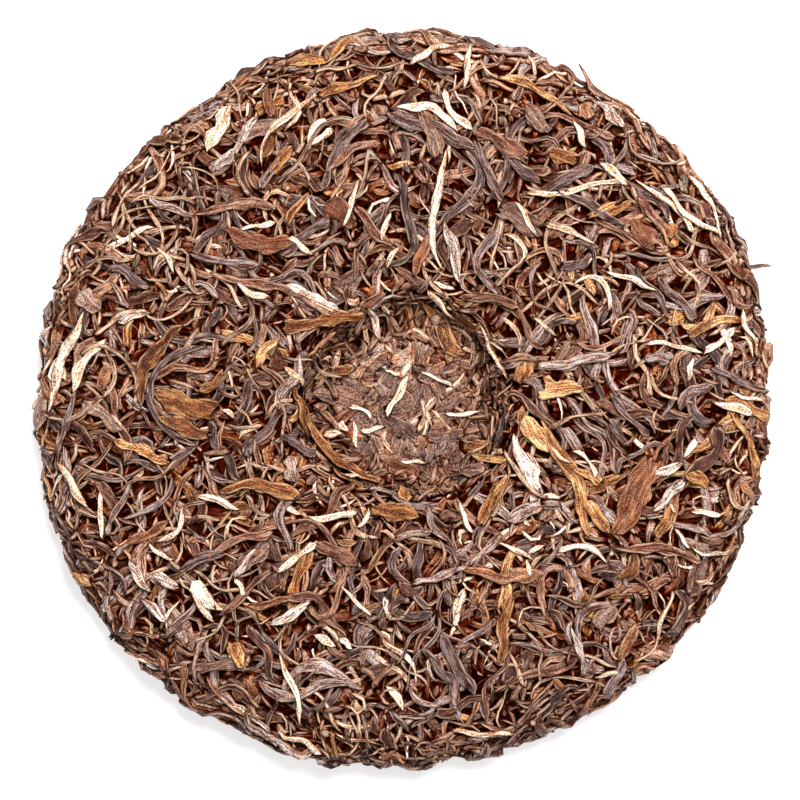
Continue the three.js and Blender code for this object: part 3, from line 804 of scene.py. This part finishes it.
def new_material(name):
    material = bpy.data.materials.new(name)
    material.use_nodes = True
    tree = material.node_tree
    tree.nodes.clear()
    output = tree.nodes.new("ShaderNodeOutputMaterial")
    shader = tree.nodes.new("ShaderNodeBsdfPrincipled")
    tree.links.new(shader.outputs["BSDF"], output.inputs["Surface"])
    return material, tree, shader


def add_node(tree, kind, settings=None, **inputs):
    made = tree.nodes.new(kind)
    for key, value in (settings or {}).items():
        setattr(made, key, value)
    for key, value in inputs.items():
        socket = made.inputs[int(key[1:])] if key[1:].isdigit() else made.inputs[key.replace("_", " ")]
        if isinstance(value, bpy.types.NodeSocket):
            tree.links.new(value, socket)
        else:
            socket.default_value = value
    return made


def linear(colour):
    """A colour as a picture shows it, 0 to 255 a channel, to the shader's linear scale."""
    share = np.array(colour) / 255
    values = np.where(share <= 0.04045, share / 12.92, ((share + 0.055) / 1.055) ** 2.4)
    return (*values.tolist(), 1.0)


def ramp(tree, factor, stops):
    """stops are (place, colour): a shade, three linear factors, or 0 to 255 as a picture shows it."""
    made = add_node(tree, "ShaderNodeValToRGB", _0=factor)
    elements = made.color_ramp.elements
    while len(elements) < len(stops):
        elements.new(0.5)
    for element, (place, colour) in zip(elements, stops):
        element.position = place
        if isinstance(colour, float):
            element.color = (colour,) * 3 + (1,)
        elif isinstance(colour[0], float):
            element.color = (*colour, 1)
        else:
            element.color = linear(colour)
    return made.outputs["Color"]


def mixed(tree, blend, factor, first, second):
    settings = {"data_type": "RGBA", "blend_type": blend}
    return add_node(tree, "ShaderNodeMix", settings, _0=factor, _6=first, _7=second).outputs[2]


def multiplied(tree, first, second):
    return mixed(tree, "MULTIPLY", 1.0, first, second)


def map_range(tree, value, span, to_low, to_high):
    made = add_node(tree, "ShaderNodeMapRange", _0=value, _1=span[0], _2=span[1], _3=to_low, _4=to_high)
    return made.outputs["Result"]


def maths(tree, operation, first, second):
    return add_node(tree, "ShaderNodeMath", {"operation": operation}, _0=first, _1=second).outputs["Value"]


def attribute(tree, name, output="Fac"):
    return add_node(tree, "ShaderNodeAttribute", {"attribute_name": name}).outputs[output]


def noise(tree, where, scale, detail, rough=0.5):
    made = add_node(tree, "ShaderNodeTexNoise", Vector=where, Scale=scale, Detail=detail, Roughness=rough)
    return made.outputs["Fac"]


def grain_noise(tree, grain, across, along, detail):
    stretch = add_node(tree, "ShaderNodeMapping", _0=grain, Scale=(across, along, 1)).outputs["Vector"]
    return noise(tree, stretch, 1.0, detail, GRAIN_ROUGHNESS)


# The noises of a leaf's grain, each by its scale across and along the leaf and its detail.
FIBRES = (3.0, 0.22, 3.0)
BLOTCHES = (0.55, 0.3, 3.0)
FLECKS = (5.0, 2.2, 2.0)
STAINS = (0.5, 0.35, 3.0)
GRAIN_ROUGHNESS = 0.6
NOISE_RANGE = (0.3, 0.7)
FIBRE_RANGE = (0.34, 0.66)
HIGHLIGHT_PATCH_RANGE = (0.42, 0.58)

# How far blotches shift a leaf's tone, and fibres, ridges (painted highlight and shade) and flecks its
# streaks.
TONE_DRIFT = 0.28
FIBRE_SHIFT = 0.7
RIDGE_SHADE_SHIFT = 0.42
FLECK_SHIFT = 0.65

# What a leaf's colour is multiplied by: for how deep it lies among others (painted shade), for streaks
# (fibre grain, with painted highlight on its wrinkles' ridges and painted shade in its creases), stains and
# its outline (a painted shadow), and for the patches and cracks of a mottled one. The light edge is a
# painted highlight in its kind's highlight colour.
GAP_SHADE_STOPS = (
    (0.0, (0.1, 0.012, 0.002)),
    (0.27, (0.38, 0.11, 0.035)),
    (0.52, (0.76, 0.5, 0.38)),
    (1.0, 1.0),
)
GAP_SHADE_RANGE = (-5.8, -1.6)
STREAK_STOPS = (
    (0.0, (0.3, 0.08, 0.025)),
    (0.3, (0.66, 0.45, 0.33)),
    (0.5, 1.0),
    (0.75, (1.5, 1.6, 1.74)),
    (1.0, (2.2, 2.5, 2.9)),
)
STAIN_STOPS = ((0.36, (1.14, 0.92, 0.77)), (0.5, 1.0), (0.64, (0.88, 0.95, 1.03)))
# The outline is a painted shadow along each leaf's edges; its width is in mm.
OUTLINE_SHADOW_STOPS = ((0.0, (0.18, 0.04, 0.01)), (0.55, (0.76, 0.58, 0.47)), (1.0, 1.0))
OUTLINE_SHADOW_WIDTH = 0.3
# The light edge is a painted highlight near each leaf's edges; its width is in mm, and the fibres decide
# how much of it shows, up to its share.
EDGE_HIGHLIGHT_STOPS = ((0.0, 0.0), (0.35, 1.0), (1.0, 0.0))
EDGE_HIGHLIGHT_WIDTH = 0.75
EDGE_HIGHLIGHT_SHARE = 0.85
LEAF_SHEEN = 0.18
LEAF_ROUGHNESS = 0.5
BUMP = 0.8
BUMP_DEPTH = 0.2
PATCH_STOPS = ((0.36, (1.08, 0.8, 0.6)), (0.47, (0.98, 0.94, 0.9)), (0.6, (0.62, 0.58, 0.6)))
CRACK_STOPS = ((0.32, (0.4, 0.18, 0.1)), (0.43, 1.0), (0.6, 1.0), (0.72, (1.5, 1.55, 1.6)))

# Noises that run through the whole cake, each by its scale, in waves to the metre, and its detail.
PATCHES = (150.0, 3.0)
CRACKS = (1900.0, 2.0)
CRUMBS = (900.0, 4.0)
# The core shows where the leaves leave gaps, and its dark red-brown is painted shade there.
CORE_SHADE_STOPS = ((0.3, (40, 12, 6)), (0.7, (104, 56, 36)))
CORE_ROUGHNESS = 0.8


def leaf_material(name, colours, highlight_colour, contrast=1.0, mottled=False):
    """Leaf: a tone for each leaf that drifts along it, fibres, painted highlight on its ridges and edges,
    painted shade in its creases, a painted shadow as its outline, painted shade in the gaps.
    """
    material, tree, shader = new_material(name)
    grain, tone = attribute(tree, "grain", "Vector"), attribute(tree, "tone")
    edge, shown, ridge = (attribute(tree, label) for label in ("edge", "shown", "ridge"))
    fibres, blotches, flecks, stains = (
        grain_noise(tree, grain, *sizes) for sizes in (FIBRES, BLOTCHES, FLECKS, STAINS)
    )

    drift = map_range(tree, blotches, NOISE_RANGE, -TONE_DRIFT, TONE_DRIFT)
    steps = [(i / (len(colours) - 1), colour) for i, colour in enumerate(colours)]
    base = ramp(tree, maths(tree, "ADD", tone, drift), steps)
    base = multiplied(tree, base, ramp(tree, stains, STAIN_STOPS))
    streak = map_range(tree, fibres, FIBRE_RANGE, -FIBRE_SHIFT * contrast, FIBRE_SHIFT * contrast)
    # ridges add painted highlight, creases painted shade
    streak = maths(tree, "ADD", streak, maths(tree, "MULTIPLY", ridge, RIDGE_SHADE_SHIFT * contrast))
    streak = maths(tree, "ADD", streak, map_range(tree, flecks, NOISE_RANGE, -FLECK_SHIFT, FLECK_SHIFT))
    base = multiplied(tree, base, ramp(tree, maths(tree, "ADD", streak, 0.5), STREAK_STOPS))
    # painted highlight: a light band near the leaf's edges, broken up by its fibres
    light = ramp(tree, maths(tree, "DIVIDE", edge, EDGE_HIGHLIGHT_WIDTH), EDGE_HIGHLIGHT_STOPS)
    highlight_patches = map_range(tree, fibres, HIGHLIGHT_PATCH_RANGE, 0.0, EDGE_HIGHLIGHT_SHARE)
    base = mixed(tree, "MIX", maths(tree, "MULTIPLY", light, highlight_patches), base, linear(highlight_colour))
    # painted shadow: a dark outline along the leaf's edges
    outline = ramp(tree, maths(tree, "DIVIDE", edge, OUTLINE_SHADOW_WIDTH), OUTLINE_SHADOW_STOPS)
    base = multiplied(tree, base, outline)
    # painted shade: the deeper a point lies among its neighbours, the darker its colour
    base = multiplied(tree, base, ramp(tree, map_range(tree, shown, GAP_SHADE_RANGE, 0.0, 1.0), GAP_SHADE_STOPS))
    if mottled:
        where = add_node(tree, "ShaderNodeTexCoord").outputs["Object"]
        base = multiplied(tree, base, ramp(tree, noise(tree, where, *PATCHES), PATCH_STOPS))
        base = multiplied(tree, base, ramp(tree, noise(tree, where, *CRACKS), CRACK_STOPS))
    tree.links.new(base, shader.inputs["Base Color"])
    shader.inputs["Roughness"].default_value = LEAF_ROUGHNESS
    tree.links.new(map_range(tree, shown, GAP_SHADE_RANGE, 0.0, LEAF_SHEEN), shader.inputs["Specular IOR Level"])
    height = maths(tree, "ADD", fibres, flecks)
    relief = add_node(tree, "ShaderNodeBump", Strength=BUMP, Distance=BUMP_DEPTH * MM, Height=height)
    tree.links.new(relief.outputs["Normal"], shader.inputs["Normal"])
    return material


def core_material():
    material, tree, shader = new_material("pressed_core")
    where = add_node(tree, "ShaderNodeTexCoord").outputs["Object"]
    # painted shade: the core's dark colour for the gaps
    tree.links.new(ramp(tree, noise(tree, where, *CRUMBS), CORE_SHADE_STOPS), shader.inputs["Base Color"])
    shader.inputs["Roughness"].default_value = CORE_ROUGHNESS
    shader.inputs["Specular IOR Level"].default_value = 0.0
    return material


# Colours from each kind's darkest leaf to its lightest, the colour of the painted highlight on its edges,
# its contrast, and whether it is mottled.
MATERIALS = {
    "taupe_strips": (
        ((60, 42, 38), (86, 66, 61), (108, 86, 80), (132, 111, 103), (156, 135, 124)),
        (192, 166, 148),
        1.0,
    ),
    "umber_strips": (
        ((64, 34, 24), (94, 58, 43), (118, 80, 61), (138, 100, 78), (160, 122, 98)),
        (200, 168, 142),
        0.9,
    ),
    "rust_leaves": (((76, 38, 22), (108, 65, 42), (130, 85, 58), (150, 107, 78)), (192, 150, 114), 0.6),
    "broad_leaves": (((80, 55, 44), (108, 81, 68), (130, 103, 89), (152, 127, 112)), (188, 156, 132), 0.6),
    "gold_leaves": (
        ((74, 38, 18), (106, 62, 32), (134, 88, 50), (160, 113, 66), (188, 148, 102)),
        (206, 174, 132),
        0.75,
    ),
    "pale_buds": (
        ((172, 138, 106), (202, 174, 143), (226, 205, 177), (243, 229, 207)),
        (250, 240, 224),
        0.5,
    ),
    "silver_leaves": (
        ((118, 101, 95), (153, 137, 128), (188, 172, 159), (220, 206, 190)),
        (238, 226, 210),
        0.8,
    ),
    "stems": (((80, 54, 43), (118, 86, 68), (158, 124, 100), (202, 172, 144)), (218, 192, 164), 0.7),
    "leaf_bits": (
        ((54, 29, 20), (90, 56, 42), (118, 83, 67), (144, 110, 91), (204, 176, 150)),
        (174, 140, 114),
        0.9,
    ),
    "floor_flakes": (
        ((79, 52, 41), (102, 80, 73), (124, 93, 73), (112, 91, 86), (134, 104, 82), (161, 138, 121)),
        (194, 168, 144),
        0.6,
        True,
    ),
}


# The photograph's frame: its pixels on the cake, and where the cake's middle shows.
PICTURE_SIZE = 800
PIXEL = 0.271
PICTURE_CENTRE = (403.1, 400.9)
CAMERA_HEIGHT = 1500
SENSOR = 36


def add_camera():
    lens = bpy.data.cameras.new("camera")
    lens.sensor_width = SENSOR
    lens.lens = SENSOR * (CAMERA_HEIGHT - RIM_LEVEL) / (PICTURE_SIZE * PIXEL)
    lens.clip_end = 10
    camera = bpy.data.objects.new("camera", lens)
    middle = PICTURE_SIZE / 2
    camera.location = (
        (middle - PICTURE_CENTRE[0]) * PIXEL * MM,
        (PICTURE_CENTRE[1] - middle) * PIXEL * MM,
        CAMERA_HEIGHT * MM,
    )
    bpy.context.scene.collection.objects.link(camera)
    bpy.context.scene.camera = camera


# The studio, in metres.
KEY_PLACE = (0.2, 0.44, 1.15)
KEY_SIZE = 0.6
KEY_POWER = 24.6
KEY_COLOUR = (1.0, 0.975, 0.95)
FLOOR_SIZE = 6
FLOOR_COLOUR = (0.7, 0.7, 0.7, 1)
FLOOR_ROUGHNESS = 0.9
FLOOR_GLOW = 0.55
SKY_STRENGTH = 0.52
WHITE = (1, 1, 1, 1)


def add_light(name, place, size, power):
    lamp = bpy.data.lights.new(name, "AREA")
    lamp.shape = "DISK"
    lamp.size = size
    lamp.energy = power
    lamp.color = KEY_COLOUR
    light = bpy.data.objects.new(name, lamp)
    light.location = place
    direction = -light.location
    light.rotation_euler = direction.to_track_quat("-Z", "Y").to_euler()
    bpy.context.scene.collection.objects.link(light)


def add_studio():
    bpy.ops.mesh.primitive_plane_add(size=FLOOR_SIZE, location=(0, 0, 0))
    floor = bpy.context.object
    floor.name = "floor"
    material, _, shader = new_material("floor")
    shader.inputs["Base Color"].default_value = FLOOR_COLOUR
    shader.inputs["Roughness"].default_value = FLOOR_ROUGHNESS
    shader.inputs["Emission Color"].default_value = WHITE
    shader.inputs["Emission Strength"].default_value = FLOOR_GLOW
    floor.data.materials.append(material)
    add_light("key", KEY_PLACE, KEY_SIZE, KEY_POWER)
    world = bpy.data.worlds.new("studio")
    world.use_nodes = True
    sky = world.node_tree.nodes["Background"]
    sky.inputs["Color"].default_value = WHITE
    sky.inputs["Strength"].default_value = SKY_STRENGTH
    bpy.context.scene.world = world
    bpy.context.scene.view_settings.view_transform = "Standard"


# Mixes of kinds, each with its weight.
BED = {"broad_leaves": 2, "rust_leaves": 3, "umber_strips": 3, "taupe_strips": 3}
TOP = {
    "taupe_strips": 25,
    "umber_strips": 25,
    "rust_leaves": 14,
    "broad_leaves": 6,
    "gold_leaves": 12,
    "pale_buds": 15,
    "silver_leaves": 8,
    "stems": 22,
}
STRANDS = {"taupe_strips": 5, "umber_strips": 4, "stems": 6, "pale_buds": 2, "gold_leaves": 1}
BITS = {"leaf_bits": 1}
FLAKES = {"floor_flakes": 12, "leaf_bits": 1.5, "pale_buds": 0.15, "stems": 0.5}
WALL = {"leaf_bits": 24, "gold_leaves": 0.5, "rust_leaves": 0.5, "stems": 1}
WALL_START = 25  # loose leaves on the back start here, outside the dimple's floor
RIM_START = 96
RIM_CLEAR = 7  # how far from the rim the last long strands stay
FLAKE_OVERLAP = 2  # the flakes go this far past their edge
WALL_WIDTH = 6  # and the wall's bits lie this far to both sides of it

# Tone ranges: the bed on both faces and the first bits, laid lowest in the pile, and the bits by the
# dimple's wall keep to the darker end of their kinds' colours.
DARK = (0, 0.7)
DIM = (0, 0.8)


def build_cake():
    """Lays a bed on the back, then leaves and bits ever finer, the dimple's own, and the underside's."""
    cake = Cake()
    heaps = {name: [] for name in KINDS}
    scatter(cake, heaps, BED, 1300, inner=WALL_START, tone=DARK, step=3.5, points=5)
    scatter(cake, heaps, BITS, 1200, inner=WALL_START, tone=DARK)
    scatter(cake, heaps, TOP, 1700, inner=WALL_START, step=3, points=5)
    scatter(cake, heaps, BITS, 1500, inner=WALL_START)
    scatter(cake, heaps, TOP, 1900, inner=WALL_START, step=2.2)
    scatter(cake, heaps, BITS, 2000, inner=WALL_START)
    scatter(cake, heaps, STRANDS, 720, inner=WALL_START, outer=cake.skin.rim - RIM_CLEAR, step=2.2)
    scatter(cake, heaps, BITS, 600, inner=WALL_START)
    scatter(cake, heaps, TOP, 340, inner=RIM_START, step=2.2, along=1)
    scatter(cake, heaps, BITS, 300, inner=RIM_START)
    scatter(cake, heaps, FLAKES, 480, outer=FLAKE_RADIUS + FLAKE_OVERLAP)
    wall = (FLAKE_RADIUS - WALL_WIDTH, FLAKE_RADIUS + WALL_WIDTH)
    scatter(cake, heaps, WALL, 260, inner=wall[0], outer=wall[1], tone=DIM)
    place_features(cake, heaps)
    scatter(cake, heaps, BED, 700, under=True, tone=DARK, step=3.5, points=5)
    scatter(cake, heaps, BITS, 700, under=True)
    scatter(cake, heaps, TOP, 1400, under=True, step=2.8, points=7)
    scatter(cake, heaps, BITS, 700, under=True)
    press = Press(cake)
    pieces = {name: press.piece(name, heap) for name, heap in heaps.items()}
    for name, piece in pieces.items():
        piece.data.materials.append(leaf_material(name, *MATERIALS[name]))
    core = core_piece(press)
    core.data.materials.append(core_material())
    for piece in [core, *pieces.values()]:
        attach(piece, "root")
        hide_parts(CAKE_NODE)


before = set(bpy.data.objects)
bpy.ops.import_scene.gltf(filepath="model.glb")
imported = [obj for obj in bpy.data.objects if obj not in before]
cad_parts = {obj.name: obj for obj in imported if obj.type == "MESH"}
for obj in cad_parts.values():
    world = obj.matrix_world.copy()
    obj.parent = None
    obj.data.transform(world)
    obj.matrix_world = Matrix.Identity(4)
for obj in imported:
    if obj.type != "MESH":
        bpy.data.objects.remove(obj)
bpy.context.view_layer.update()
build_cake()
add_studio()
add_camera()
